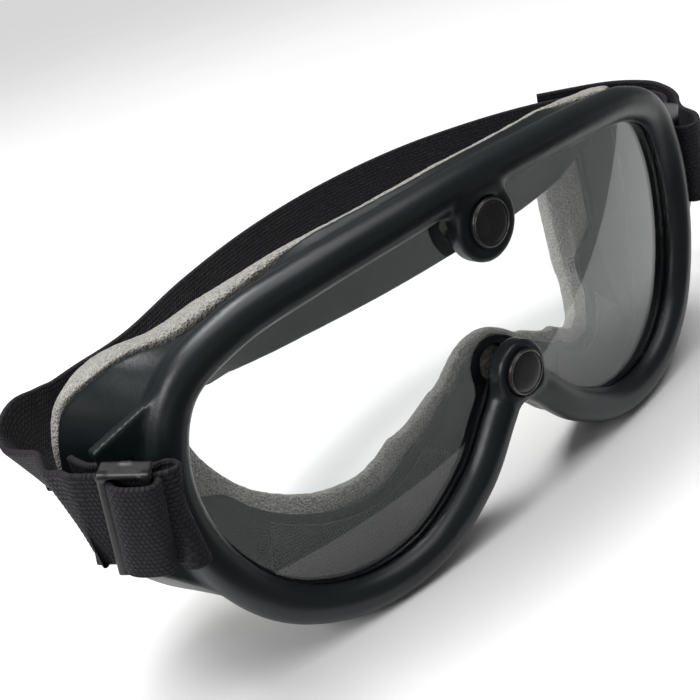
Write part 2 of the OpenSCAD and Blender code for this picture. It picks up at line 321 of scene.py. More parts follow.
def noise_node(nt, scale, detail=4.0, rough=0.55, vector=None):
    n = nt.nodes.new("ShaderNodeTexNoise")
    n.inputs["Scale"].default_value = scale
    n.inputs["Detail"].default_value = detail
    n.inputs["Roughness"].default_value = rough
    if vector is None:
        vector = nt.nodes.new("ShaderNodeTexCoord").outputs["Object"]
    nt.links.new(vector, n.inputs["Vector"])
    return n.outputs["Fac"]


def ramp(nt, fac, stops):
    n = nt.nodes.new("ShaderNodeValToRGB")
    e = n.color_ramp.elements
    while len(e) < len(stops):
        e.new(0.5)
    for el, (pos, col) in zip(e, stops):
        el.position = pos
        el.color = (*col, 1) if hasattr(col, "__len__") else (col, col, col, 1)
    nt.links.new(fac, n.inputs["Fac"])
    return n.outputs["Color"]


def math_node(nt, op, a, b=None):
    n = nt.nodes.new("ShaderNodeMath")
    n.operation = op
    for i, v in enumerate((a, b)):
        if v is None:
            continue
        if isinstance(v, (int, float)):
            n.inputs[i].default_value = v
        else:
            nt.links.new(v, n.inputs[i])
    return n.outputs[0]


def bump(nt, b, height, strength, distance, previous=None):
    n = nt.nodes.new("ShaderNodeBump")
    n.inputs["Strength"].default_value = strength
    n.inputs["Distance"].default_value = distance
    nt.links.new(height, n.inputs["Height"])
    if previous is not None:
        nt.links.new(previous, n.inputs["Normal"])
    nt.links.new(n.outputs["Normal"], b.inputs["Normal"])
    return n.outputs["Normal"]


def moulded_material():
    m, nt, b = new_material("moulded_rubber", (0.010, 0.014, 0.016), 0.4)
    large = noise_node(nt, 35, 3)
    fine = noise_node(nt, 1500, 6, 0.65)
    nt.links.new(ramp(nt, large, [(0.3, (0.0045, 0.0070, 0.0085)), (0.7, (0.0085, 0.0125, 0.0145))]),
                 b.inputs["Base Color"])
    grain = math_node(nt, "MULTIPLY", fine, 0.10)
    patches = math_node(nt, "MULTIPLY", noise_node(nt, 120, 4), 0.16)
    nt.links.new(math_node(nt, "ADD", math_node(nt, "ADD", grain, patches), 0.22), b.inputs["Roughness"])
    # Specular level from the mesh, turned down on the flange behind the lens as painted shade.
    gloss_with_painted_shade = nt.nodes.new("ShaderNodeAttribute")
    gloss_with_painted_shade.attribute_name = "gloss_with_painted_shade"
    nt.links.new(gloss_with_painted_shade.outputs["Fac"], b.inputs["Specular IOR Level"])
    n = bump(nt, b, noise_node(nt, 260, 3), 0.12, 0.0004)
    bump(nt, b, fine, 0.22, 0.00012, n)
    return m


def lens_material():
    m, nt, b = new_material("clear_sheet", (0.93, 0.95, 0.95), 0.02)
    b.inputs["Transmission Weight"].default_value = 1
    b.inputs["IOR"].default_value = 1.5
    smear = noise_node(nt, 60, 5, 0.6)
    nt.links.new(ramp(nt, smear, [(0.35, 0.0), (0.75, 0.035)]), b.inputs["Roughness"])
    nt.links.new(ramp(nt, noise_node(nt, 18, 2), [(0.3, (0.90, 0.925, 0.925)), (0.8, (0.95, 0.965, 0.96))]),
                 b.inputs["Base Color"])
    return m


def foam_material():
    m, nt, b = new_material("open_cell_foam", (0.30, 0.29, 0.27), 0.95)
    co = nt.nodes.new("ShaderNodeTexCoord").outputs["Object"]
    cell = nt.nodes.new("ShaderNodeTexVoronoi")
    cell.inputs["Scale"].default_value = 1900
    nt.links.new(co, cell.inputs["Vector"])
    cell2 = nt.nodes.new("ShaderNodeTexVoronoi")
    cell2.inputs["Scale"].default_value = 900
    nt.links.new(co, cell2.inputs["Vector"])
    speck = noise_node(nt, 1300, 2, 0.5, co)
    # The pores are coloured darker than the cell walls: painted shade in the pits.
    shaded_pores = ramp(nt, cell.outputs["Distance"], [(0.05, (0.13, 0.125, 0.115)), (0.55, (0.42, 0.405, 0.375))])
    light = ramp(nt, speck, [(0.66, 0.0), (0.76, 1.0)])
    mixer = nt.nodes.new("ShaderNodeMix")
    mixer.data_type = "RGBA"
    nt.links.new(light, mixer.inputs["Factor"])
    nt.links.new(shaded_pores, mixer.inputs[6])
    mixer.inputs[7].default_value = (0.72, 0.71, 0.68, 1)
    shade = nt.nodes.new("ShaderNodeMix")
    shade.data_type = "RGBA"
    shade.blend_type = "MULTIPLY"
    shade.inputs["Factor"].default_value = 1
    nt.links.new(mixer.outputs[2], shade.inputs[6])
    nt.links.new(ramp(nt, noise_node(nt, 55, 4, 0.6, co), [(0.25, 0.78), (0.75, 1.0)]), shade.inputs[7])
    nt.links.new(shade.outputs[2], b.inputs["Base Color"])
    b.inputs["Sheen Weight"].default_value = 0.15
    b.inputs["Sheen Roughness"].default_value = 0.6
    nt.links.new(ramp(nt, noise_node(nt, 400, 3, 0.5, co), [(0.2, 0.85), (0.8, 1.0)]), b.inputs["Roughness"])
    n = bump(nt, b, cell.outputs["Distance"], 0.9, 0.0004)
    bump(nt, b, cell2.outputs["Distance"], 0.5, 0.0006, n)
    return m


def attribute(nt, name):
    n = nt.nodes.new("ShaderNodeAttribute")
    n.attribute_name = name
    return n.outputs["Fac"]


def webbing_material():
    """Knitted elastic: ribs along the length, with a row of small stitches across each rib."""
    m, nt, b = new_material("elastic_webbing", (0.012, 0.010, 0.014), 0.8)
    across, along = attribute(nt, "across_mm"), attribute(nt, "along_mm")
    rib = math_node(nt, "FRACT", math_node(nt, "MULTIPLY", across, 1 / 1.05))
    row = math_node(nt, "FLOOR", math_node(nt, "MULTIPLY", across, 1 / 1.05))
    shift = math_node(nt, "MULTIPLY", math_node(nt, "MODULO", row, 2), 0.5)
    stitch = math_node(nt, "FRACT", math_node(nt, "ADD", math_node(nt, "MULTIPLY", along, 1 / 0.95), shift))
    rib_h = math_node(nt, "SINE", math_node(nt, "MULTIPLY", rib, math.pi))
    stitch_h = math_node(nt, "SINE", math_node(nt, "MULTIPLY", stitch, math.pi))
    height = math_node(nt, "MULTIPLY", math_node(nt, "POWER", rib_h, 0.7), math_node(nt, "POWER", stitch_h, 0.5))
    fuzz = noise_node(nt, 2500, 3, 0.6)
    # The ramp makes the grooves between ribs and stitches darker than the tops: painted shade.
    nt.links.new(ramp(nt, height, [(0.1, (0.002, 0.0018, 0.0025)), (0.85, (0.013, 0.0105, 0.015))]),
                 b.inputs["Base Color"])
    nt.links.new(ramp(nt, fuzz, [(0.3, 0.66), (0.7, 0.9)]), b.inputs["Roughness"])
    b.inputs["Sheen Weight"].default_value = 0.06
    b.inputs["Sheen Roughness"].default_value = 0.45
    b.inputs["Sheen Tint"].default_value = (0.75, 0.68, 0.82, 1)
    b.inputs["Specular IOR Level"].default_value = 0.35
    n = bump(nt, b, height, 0.7, 0.00035)
    bump(nt, b, fuzz, 0.25, 0.00015, n)
    return m


def cloth_material():
    m, nt, b = new_material("vent_cloth", (0.010, 0.012, 0.013), 0.85)
    co = nt.nodes.new("ShaderNodeTexCoord").outputs["Object"]
    waves = []
    for axis in ("X", "Z"):
        w = nt.nodes.new("ShaderNodeTexWave")
        w.bands_direction = axis
        w.inputs["Scale"].default_value = 520
        w.inputs["Distortion"].default_value = 0.6
        nt.links.new(co, w.inputs["Vector"])
        waves.append(w.outputs["Fac"])
    weave = math_node(nt, "MULTIPLY", waves[0], waves[1])
    # Darker where the weave dips: painted shade.
    nt.links.new(ramp(nt, weave, [(0.05, (0.004, 0.005, 0.006)), (0.8, (0.024, 0.027, 0.029))]),
                 b.inputs["Base Color"])
    nt.links.new(ramp(nt, weave, [(0, 0.95), (1, 0.7)]), b.inputs["Roughness"])
    b.inputs["Sheen Weight"].default_value = 0.1
    bump(nt, b, weave, 0.6, 0.0003)
    return m


def plastic_material():
    m, nt, b = new_material("slide_plastic", (0.013, 0.013, 0.012), 0.35)
    nt.links.new(ramp(nt, noise_node(nt, 90, 3), [(0.3, (0.006, 0.006, 0.0055)), (0.7, (0.013, 0.0125, 0.012))]),
                 b.inputs["Base Color"])
    nt.links.new(ramp(nt, noise_node(nt, 700, 5, 0.7), [(0.25, 0.28), (0.75, 0.5)]), b.inputs["Roughness"])
    bump(nt, b, noise_node(nt, 900, 4), 0.12, 0.0002)
    return m


def enamel_material():
    m, nt, b = new_material("cap_enamel", (0.012, 0.011, 0.011), 0.3)
    nt.links.new(ramp(nt, noise_node(nt, 240, 4), [(0.3, (0.009, 0.008, 0.008)), (0.75, (0.018, 0.016, 0.015))]),
                 b.inputs["Base Color"])
    nt.links.new(ramp(nt, noise_node(nt, 1500, 5, 0.7), [(0.3, 0.24), (0.7, 0.42)]), b.inputs["Roughness"])
    b.inputs["Coat Weight"].default_value = 0.25
    b.inputs["Coat Roughness"].default_value = 0.18
    bump(nt, b, noise_node(nt, 1800, 4), 0.10, 0.00012)
    return m


def metal_material(name, colour, low, high):
    m, nt, b = new_material(name, colour, 0.35, 1.0)
    nt.links.new(ramp(nt, noise_node(nt, 300, 4), [(0.3, tuple(c * 0.7 for c in colour)), (0.7, colour)]),
                 b.inputs["Base Color"])
    nt.links.new(ramp(nt, noise_node(nt, 1300, 5, 0.7), [(0.3, low), (0.7, high)]), b.inputs["Roughness"])
    bump(nt, b, noise_node(nt, 2200, 4), 0.12, 0.0001)
    return m


RUBBER, LENS, FOAM, WEB, CLOTH = moulded_material(), lens_material(), foam_material(), webbing_material(), \
    cloth_material()
PLASTIC, ENAMEL = plastic_material(), enamel_material()
METAL = metal_material("snap_metal", (0.33, 0.33, 0.34), 0.25, 0.5)
# The lighter metal ring round each cap is a painted highlight for the bright line along its rim.
EDGE = metal_material("cap_edge_painted_highlight", (0.30, 0.28, 0.26), 0.2, 0.4)

# ---------------------------------------------------------------- camera
AZ, EL, ROLL = (math.radians(v) for v in (-32.58, 24.36, -17.56))
FOCAL = 51.43       # mm, on a 36 mm sensor
CAMERA_PLACE = Vector((-0.1424, -0.1737, 0.1028))


def place_camera():
    back = Vector((math.sin(AZ) * math.cos(EL), -math.cos(AZ) * math.cos(EL), math.sin(EL)))
    right = (-back).cross(Vector((0, 0, 1))).normalized()
    up = right.cross(-back)
    r = math.cos(ROLL) * right + math.sin(ROLL) * up
    u = -math.sin(ROLL) * right + math.cos(ROLL) * up
    m = Matrix((r, u, back)).transposed().to_4x4()
    m.translation = CAMERA_PLACE
    data = bpy.data.cameras.new("camera")
    data.sensor_width, data.lens = 36, FOCAL
    data.clip_start, data.clip_end = 0.01, 20
    cam = bpy.data.objects.new("camera", data)
    bpy.context.scene.collection.objects.link(cam)
    cam.matrix_world = m
    bpy.context.scene.camera = cam


place_camera()

# ---------------------------------------------------------------- moulded frame
RIM = closed_curve(OUTLINE, RIM_STEPS)


def rim_map(x, z):
    """Signed offset from the rim's centre line and the foot's x and z, for points in the X-Z plane."""
    n = len(RIM)
    p = np.stack([x.ravel(), z.ravel()], 1)
    near = np.zeros(len(p), int)
    for k in range(0, len(p), 20000):
        q = p[k:k + 20000]
        d = (q[:, None, 0] - RIM[None, :, 0]) ** 2 + (q[:, None, 1] - RIM[None, :, 1]) ** 2
        near[k:k + 20000] = d.argmin(1)
    best = np.full(len(p), 1e9)
    off, fx, fz = np.zeros(len(p)), np.zeros(len(p)), np.zeros(len(p))
    for a, b in ((near - 1, near), (near, near + 1)):
        A, B = RIM[a % n], RIM[b % n]
        e, w = B - A, p - A
        t = np.clip((w * e).sum(1) / (e * e).sum(1), 0, 1)
        foot = A + e * t[:, None]
        v = p - foot
        d = np.hypot(v[:, 0], v[:, 1])
        sign = np.where(-e[:, 1] * v[:, 0] + e[:, 0] * v[:, 1] > 0, 1, -1)
        use = d < best
        best = np.where(use, d, best)
        off, fx, fz = np.where(use, d * sign, off), np.where(use, foot[:, 0], fx), np.where(use, foot[:, 1], fz)
    return off.reshape(x.shape), fx.reshape(x.shape), fz.reshape(x.shape)


def ring_field(off, d, fx, fz):
    """Distance to the bead, side wall and flange, at offsets off and depths d. fx and fz say where on the rim."""
    w, a, e = wall_off(fx, fz), outer_d(fx, fz), flange_edge(fx, fz)
    b = flange_d(fx, fz, -e)
    one = np.ones_like(fx)
    r = 0.45            # rounding of the walls' edges
    shell = [(2.6 * one, 2.6 * one), (w - r, a - 1.2), (w - 0.6 - r, a - r), (-e + 0.3 + r, b - r),
             (-e + r, b - WALL / 2), (-e + 0.3 + r, b - WALL + r),
             (w - WALL - 0.6 + r, np.maximum(a - WALL - 0.6, SHOULDER_D) + r),
             (-1.5 * one, 3.7 * one), (-1.5 * one, 2.6 * one)]
    walls = polygon_distance(off, d, shell) - r
    bead = np.hypot(off, d) - RIM_R
    ledge = polygon_distance(off, d, [(-4.2 * one, 1.5 * one), (-4.2 * one, 2.8 * one), (-1.8 * one, 3.6 * one),
                                      (0 * one, 3.6 * one), (0 * one, 1.5 * one)]) - 0.3
    field = blend_union(blend_union(bead, ledge, 0.4), walls, 1.0)
    groove = np.maximum(np.maximum(GROOVE_D[0] - d, d - GROOVE_D[1]), off - (-RIM_R + LENS_BITE + GAP))
    return cut(field, groove, 0.15)


def frame_mesh():
    """The moulding, cell by cell in slices across Y."""
    h = 0.5
    lo, hi = np.array([-99.0, -22.5, -46.0]), np.array([99.0, 25.0, 45.0])
    nx, ny, nz = (int(v) for v in np.ceil((hi - lo) / h) + 1)
    x, z = np.meshgrid(lo[0] + h * np.arange(nx), lo[2] + h * np.arange(nz), indexing="ij")
    off, fx, fz = rim_map(x, z)
    keep = (off > -22) & (off < 16)
    x, z, off, fx, fz = x[keep], z[keep], off[keep], fx[keep], fz[keep]
    ear = polygon_distance(abs(x), z, [tuple(p) for p in EAR])
    slot = np.maximum(abs(abs(x) - SLOT_X) - SLOT_W / 2, abs(z - STRAP_Z) - (STRAP_W + 1) / 2)
    ear = cut(ear, slot, 0.6)
    brow, nose_c = np.hypot(x, z - BROW_Z), np.hypot(x, z - NOSE_Z)
    front = front_y(fx)
    field = np.full((nx, ny, nz), 2.0, np.float32)
    for j in range(ny):
        y = lo[1] + h * j
        c = y + SEAT            # depth behind the middle of the front
        f = ring_field(off, y - front, fx, fz)
        depth = FRONT_R - np.hypot(x, c - FRONT_R)
        f = blend_union(f, extrude(ear, depth, 1.5, 0.35), 1.3)
        for centre, r, tall in ((brow, BROW_BOSS_R, 3.0), (nose_c, NOSE_BOSS_R, 2.2)):
            f = blend_union(f, extrude(centre - r, c + 1.85, 2.35, 1.1), tall)
        for centre in (brow, nose_c):       # room for the cap, the socket and the post
            f = cut(f, np.maximum(centre - CAP_R - 0.15, c + 3.95), 0.25)
            f = cut(f, np.maximum(centre - 4.6, -1.9 - c), 0.2)
            f = cut(f, centre - 1.45, 0.1)
        lens_room = np.maximum(np.maximum(GROOVE_D[0] - 0.05 - depth, depth - GROOVE_D[1]),
                               off + RIM_R - LENS_BITE - GAP)
        f = cut(f, lens_room, 0.15)
        layer = np.full((nx, nz), 2.0, np.float32)
        layer[keep] = f
        field[:, j, :] = layer
    points, quads = surface(field, lo, h)
    return smooth_points(points, quads, 1, 0.4), quads


points, quads = frame_mesh()
moulding = mesh_piece("frame_moulding", points, quads, "goggles", RUBBER)
offset, rim_x, _ = rim_map(points[:, 0], points[:, 2])
# Painted shade: the flange behind the lens is made duller than the outside of the moulding, so it reads darker.
inside = ease(-RIM_R + 1.2, -RIM_R - 0.4, offset) * ease(2.2, 3.4, points[:, 1] - front_y(rim_x))
moulding.data.attributes.new("gloss_with_painted_shade", "FLOAT", "POINT").data.foreach_set("value", 0.5 - 0.42 * inside)
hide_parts("frame")


# ---------------------------------------------------------------- swept pieces
def swept(rim, normals, profiles):
    """Points of the profiles, each (m, 2) offsets and depths, at the places on the rim."""
    return np.array([np.stack([x + nx * q[:, 0], float(front_y(x)) + q[:, 1], z + nz * q[:, 0]], 1)
                     for (x, z), (nx, nz), q in zip(rim, normals, profiles)])


def grid_faces(n, m, closed):
    """Quads of n rows of m points. Each row is a closed loop, and the last row joins the first if closed."""
    i, j = np.meshgrid(np.arange(n if closed else n - 1), np.arange(m), indexing="ij")
    k, l = (i + 1) % n, (j + 1) % m
    return np.stack([i * m + j, i * m + l, k * m + l, k * m + j], -1).reshape(-1, 4)


def pad_profile(x, z):
    w, a, e = float(pad_off(x)), float(outer_d(x, z)) + GLUE, float(pad_edge(x, z))
    b = float(flange_d(x, z, -e)) + GLUE
    t = FOAM_T + FOAM_TEMPLE * float(side(x))
    d = BROW_DIP * float(dip(x, z))
    q = min(float(wall_off(x, z)) - 0.6, w - 0.9)
    p = np.array([(w - 0.4, a + 0.2), (w, a + 2.2), (w - 0.9, a + 0.5 * (t + d) + 1.8), (w - 4.3, a + t + d + 1.6),
                  (-e / 2, mix(a, b, 0.5) + t + d / 2 + 0.6), (-e + 3.5, b + t), (-e + 0.4, b + 0.7 * t),
                  (-e, b + 0.3 * t), (-e + 0.5, b), (q, float(flange_d(x, z, q)) + GLUE)])
    for _ in range(2):
        q = np.empty((2 * len(p), 2))
        q[0::2], q[1::2] = 0.75 * p + 0.25 * np.roll(p, -1, 0), 0.25 * p + 0.75 * np.roll(p, -1, 0)
        p = q
    return even(np.vstack([p, p[:1]]), 0.6)[:-1]


def pad_mesh():
    rim = closed_curve(OUTLINE, 28)
    m = 96
    rows = []
    for x, z in rim:
        p = pad_profile(x, z)
        c = np.vstack([p, p[:1]])
        s = lengths(c)
        u = np.arange(m) / m * s[-1]
        rows.append(np.stack([np.interp(u, s, c[:, 0]), np.interp(u, s, c[:, 1])], 1))
    pts = swept(rim, rim_normals(rim), rows)
    centre = pts.mean(1, keepdims=True)
    flat = pts.reshape(-1, 3)
    du = np.roll(pts, -1, 0) - np.roll(pts, 1, 0)
    dv = np.roll(pts, -1, 1) - np.roll(pts, 1, 1)
    normal = np.cross(du, dv)
    normal /= np.linalg.norm(normal, axis=2)[..., None] + 1e-9
    if ((pts - centre) * normal).sum() < 0:
        normal = -normal
    normal = normal.reshape(-1, 3)
    lump = 0.20 * value_noise(flat, 14, 1) + 0.08 * value_noise(flat, 4, 2)
    cell = 0.07 * value_noise(flat, 1.1, 3) + 0.05 * value_noise(flat, 0.6, 4)
    flat = flat + normal * ((lump + cell - 0.2) * free_share(pts))[:, None]
    return flat, grid_faces(len(rim), m, True)


def free_share(pts):
    """1 where a pad point may move, 0 on the glued face."""
    n, m, _ = pts.shape
    share = np.ones((n, m))
    share[:, int(m * 0.66):int(m * 0.97)] = 0.0
    return share.ravel()


points, faces = pad_mesh()
pad = mesh_piece("foam_pad", points, faces, "goggles", FOAM)
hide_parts("face_pad")


# ---------------------------------------------------------------- lens
def lens_mesh():
    """A bent sheet, in columns from its lower edge to its upper edge."""
    loop = RIM + rim_normals(RIM) * (-RIM_R + LENS_BITE)
    n = len(loop)
    xmax = loop[:, 0].max()
    xs = xmax * np.sin(np.linspace(-math.pi / 2, math.pi / 2, 260))
    xs[0], xs[-1] = -xmax * 0.99995, xmax * 0.99995

    def heights(x):
        zs = []
        for i in range(n):
            a, b = loop[i], loop[(i + 1) % n]
            if (a[0] - x) * (b[0] - x) <= 0 and a[0] != b[0]:
                zs.append(a[1] + (b[1] - a[1]) * (x - a[0]) / (b[0] - a[0]))
        return min(zs), max(zs)

    rows, m = [], 60
    for x in xs:
        z0, z1 = heights(x)
        s = 0.5 - 0.5 * np.cos(np.linspace(0, math.pi, m))
        rows.append([(x, z0 + (z1 - z0) * v) for v in s])
    grid = np.array(rows)
    out = []
    for depth in (GROOVE_D[0] + GAP, GROOVE_D[1] - GAP):
        r = FRONT_R - depth
        y = FRONT_R - SEAT - np.sqrt(r ** 2 - grid[..., 0] ** 2)
        out.append(np.stack([grid[..., 0], y, grid[..., 1]], -1).reshape(-1, 3))
    nx = len(xs)
    i, j = np.meshgrid(np.arange(nx - 1), np.arange(m - 1), indexing="ij")
    front = np.stack([i * m + j, (i + 1) * m + j, (i + 1) * m + j + 1, i * m + j + 1], -1).reshape(-1, 4)
    back = front[:, ::-1] + nx * m
    ring = [k * m for k in range(nx)] + [(nx - 1) * m + k for k in range(1, m)] \
        + [k * m + m - 1 for k in range(nx - 2, -1, -1)] + [k for k in range(m - 2, 0, -1)]
    wall = [(ring[(k + 1) % len(ring)], ring[k], ring[k] + nx * m, ring[(k + 1) % len(ring)] + nx * m)
            for k in range(len(ring))]
    return np.vstack(out), [tuple(f) for f in front] + [tuple(f) for f in back] + wall


points, faces = lens_mesh()
lens = mesh_piece("lens_sheet", points, faces, "goggles", LENS)
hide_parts("lens")


# ---------------------------------------------------------------- snap fasteners
def snap(name, z):
    centre = (0, -SEAT, z)
    r = CAP_R - 0.15
    cap = [(0, -5.32), (2.2, -5.31), (3.9, -5.26), (4.5, -5.2), (4.75, -5.1), (4.95, -5.08), (5.15, -5.2),
           (5.35, -5.22), (5.5, -5.1), (r, -4.85), (r, -4.1), (r - 0.3, -3.92), (1.35, -3.92), (1.35, -0.7),
           (0, -0.7)]
    p, f = lathe(cap, centre)
    ob = mesh_piece(name + "_cap_shell", p, f, "goggles", ENAMEL)
    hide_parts(name + "_cap")
    # Thin ring of lighter metal at the cap's rim: a painted highlight.
    ring = [(5.2 + 0.14 * math.cos(t), -5.2 + 0.10 * math.sin(t)) for t in np.linspace(0, 2 * math.pi, 13)]
    p, f = lathe(ring, centre, 128)
    mesh_piece(name + "_cap_edge", p, f, "goggles", EDGE)


snap("brow_snap", BROW_Z)
snap("nose_snap", NOSE_Z)
for place in ("brow", "nose"):
    for piece in ("socket", "stud", "eyelet"):
        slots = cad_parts[place + "_snap_" + piece].data.materials
        slots.clear()
        slots.append(METAL)


# ---------------------------------------------------------------- cloth screens under the eyes
def screen_mesh(first, last):
    """Cloth on the flange's front face between two stations of the CAD part, a little slack."""
    across = 30
    under_gap, top_gap = 0.40, 0.85
    fine = RIM_STEPS // CAD_STEPS
    span = slice(first * fine, last * fine + 1)
    loops = []
    for i, (x, z) in enumerate(RIM[span], span.start):
        w, a, e = float(wall_off(x, z)), float(outer_d(x, z)), float(flange_edge(x, z))
        outer = np.array([w - WALL - 0.6, max(a - WALL - 0.6, SHOULDER_D)])
        inner = np.array([-e + 0.3, float(flange_d(x, z, -e)) - WALL])
        line = np.array([outer + (inner - outer) * v for v in np.linspace(0.16, 0.88, across)])
        sag = 0.10 * np.sin(i * 0.21) * np.sin(np.linspace(0, math.pi, across))
        top = line - np.array([0, top_gap]) - np.stack([0 * sag, sag], 1)
        under = line - np.array([0, under_gap])
        loops.append(np.concatenate([under, top[::-1]]))
    rows = swept(RIM[span], rim_normals(RIM)[span], loops)
    n, m, _ = rows.shape
    f = grid_faces(n, m, False).tolist()
    for base, order in ((0, -1), ((n - 1) * m, 1)):
        for k in range(across - 1):
            f.append([base + k, base + k + 1, base + m - 2 - k, base + m - 1 - k][::order])
    return rows.reshape(-1, 3), f


for name, first, last in (("lower_vent_screen_left", 29, 41), ("lower_vent_screen_right", 55, 67)):
    p, f = screen_mesh(first, last)
    ob = mesh_piece(name + "_cloth", p, f, "goggles", CLOTH)
    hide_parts(name)


# ---------------------------------------------------------------- webbing
def ribbon(name, path, wide, width=STRAP_W, body=None, start_mm=0.0):
    """A strip of webbing. path holds the centres and wide the direction across it at each of them, both (n, 3)."""
    ribs = 21
    s = lengths(path)
    tangent = np.gradient(path, s, axis=0)
    tangent /= np.linalg.norm(tangent, axis=1)[:, None]
    wide = wide - (wide * tangent).sum(1)[:, None] * tangent
    wide /= np.linalg.norm(wide, axis=1)[:, None]
    out = np.cross(tangent, wide)
    m = ribs * 5
    v = np.linspace(-1, 1, m)
    body_t = STRAP_T / 2 * (1 - 0.10 * (1 + np.cos(v * math.pi * ribs)) / 2)
    body_t *= np.sqrt(np.clip(1 - ((abs(v) - 0.965) / 0.035).clip(0, 1) ** 2, 0.10, 1))
    loop = np.concatenate([np.stack([v * width / 2, body_t], 1), np.stack([v[::-1] * width / 2, -body_t[::-1]], 1)])
    pts = path[:, None, :] + wide[:, None, :] * loop[None, :, 0, None] + out[:, None, :] * loop[None, :, 1, None]
    n, mm = len(path), 2 * m
    pts = pts.reshape(-1, 3)
    faces = grid_faces(n, mm, False).tolist()
    for base, order in ((0, 1), ((n - 1) * mm, -1)):
        for k in range(m - 1):
            faces.append([base + k, base + mm - 1 - k, base + mm - 2 - k, base + k + 1][::order])
    ob = mesh_piece(name, pts, faces, body, WEB)
    for attr, value in (("across_mm", np.tile(loop[:, 0] + 20, n)), ("along_mm", np.repeat(s + start_mm, mm))):
        a = ob.data.attributes.new(attr, "FLOAT", "POINT")
        a.data.foreach_set("value", value.astype(np.float32))
    return ob


def plan_to_space(plan, lift):
    """Plan points (x, depth behind the bead) to centres and across-directions, tilted up behind the ears."""
    plan = np.asarray(plan, float)
    y = plan[:, 1] - SEAT
    tilt = math.radians(STRAP_TILT) * ease(6.0, 17.0, y)
    r = y - EAR_Y
    lift = np.broadcast_to(lift, y.shape)
    centre = np.stack([plan[:, 0], EAR_Y + r * np.cos(tilt) - lift * np.sin(tilt),
                       STRAP_Z + r * np.sin(tilt) + lift * np.cos(tilt)], 1)
    wide = np.stack([np.zeros_like(y), -np.sin(tilt), np.cos(tilt)], 1)
    return centre, wide


def turn(axis, degrees):
    return np.array(Matrix.Rotation(math.radians(degrees), 3, axis))


# The slide's own axes: along the webbing, out of its face and across the webbing.
SLIDE_AXES = turn("Z", SLIDE_TURN) @ turn("Y", SLIDE_LEAN) @ turn("X", SLIDE_TIP)
SLIDE_MID = np.array([-94.9, -10.6, 9.0])
L_AXIS, W_AXIS = SLIDE_AXES[:, 0], SLIDE_AXES[:, 2]


def station(x, y, z, wide):
    """One place on the strap's path: its centre and the direction across it."""
    return (x, y, z, *wide)


UP = (0, 0, 1)
# From the free inner end at the wearer's right ear, through the slot, round and through the slide.
right_stations = [station(-95.6, 11.5, 6.2, UP), station(-95.4, 8, 6.0, UP), station(-94.7, 4.2, 5.8, UP),
                  station(-92.4, 1.0, 5.8, UP), station(-90.4, -1.8, 5.8, UP), station(-90.4, -5, 5.8, UP),
                  station(-88.4, -9, 5.9, UP), station(-86.5, -12.6, 6.2, UP), station(-86.7, -14.7, 6.6, UP),
                  station(-88.3, -15.9, 7.1, W_AXIS * 0.5 + np.array(UP) * 0.5)]
right_stations += [station(*(SLIDE_MID + L_AXIS * v), W_AXIS) for v in (-5.2, -2, 2, 5, 7.2, 8.6, 9.6)]
# Round behind the ear, with a twist, to the back of the head.
right_stations += [station(-102.3, -1.2, 11.0, (-0.10, 0.14, 0.98)), station(-101.0, 3.0, 10.6, (-0.22, 0.02, 0.97)),
                   station(-98.9, 8.2, 10.6, (-0.30, -0.05, 0.95)), station(-97.4, 12.6, 11.0, (-0.36, -0.10, 0.92)),
                   station(-98.2, 18.5, 11.0, (-0.42, -0.14, 0.90)), station(-99.7, 23.5, 11.2, (-0.40, -0.15, 0.90)),
                   station(-99.6, 28.3, 12.6, (-0.28, -0.12, 0.94)), station(-96.8, 32.0, 14.0, (-0.12, -0.08, 0.99)),
                   station(-92.3, 36.2, 12.6, (-0.04, -0.10, 0.99)), station(-86.5, 40.2, 11.2, (0, -0.11, 0.99))]
# Plans of the rest: x and depth behind the middle of the front.
back_run = [(-78, 59), (-62, 62), (-38, 73), (-10, 82), (20, 86), (50, 84), (76, 76), (96, 65), (110, 51), (114, 40),
            (113, 32)]
left_end = [(107.5, 26.5), (100, 22.5), (93.4, 18), (90.4, 14.5), (90.4, 11.5), (91, 7.6), (95.5, 7.4), (102, 12.5),
            (107.5, 20.5), (113.2, 27), (116.0, 33.5), (116.8, 40.6), (112.4, 52.6), (97.4, 67.4)]
rest_plan = np.array(back_run + left_end, float)
n_single = len(back_run) + 8        # places before the strap doubles back over itself, 2 mm higher
lifts = np.concatenate([np.zeros(n_single), 2.0 * ease(0, 3, np.arange(len(rest_plan) - n_single))])
rest_centre, rest_wide = plan_to_space(rest_plan, lifts)
rows = np.vstack([np.array(right_stations), np.hstack([rest_centre, rest_wide])])
rows = even(open_curve(rows, 12), 0.6)
centres, wides = rows[:, :3], rows[:, 3:]
strap = ribbon("headband_webbing", centres, wides)
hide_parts("headband", "headband_tail", "strap_end_left", "strap_end_right")
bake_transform(strap)


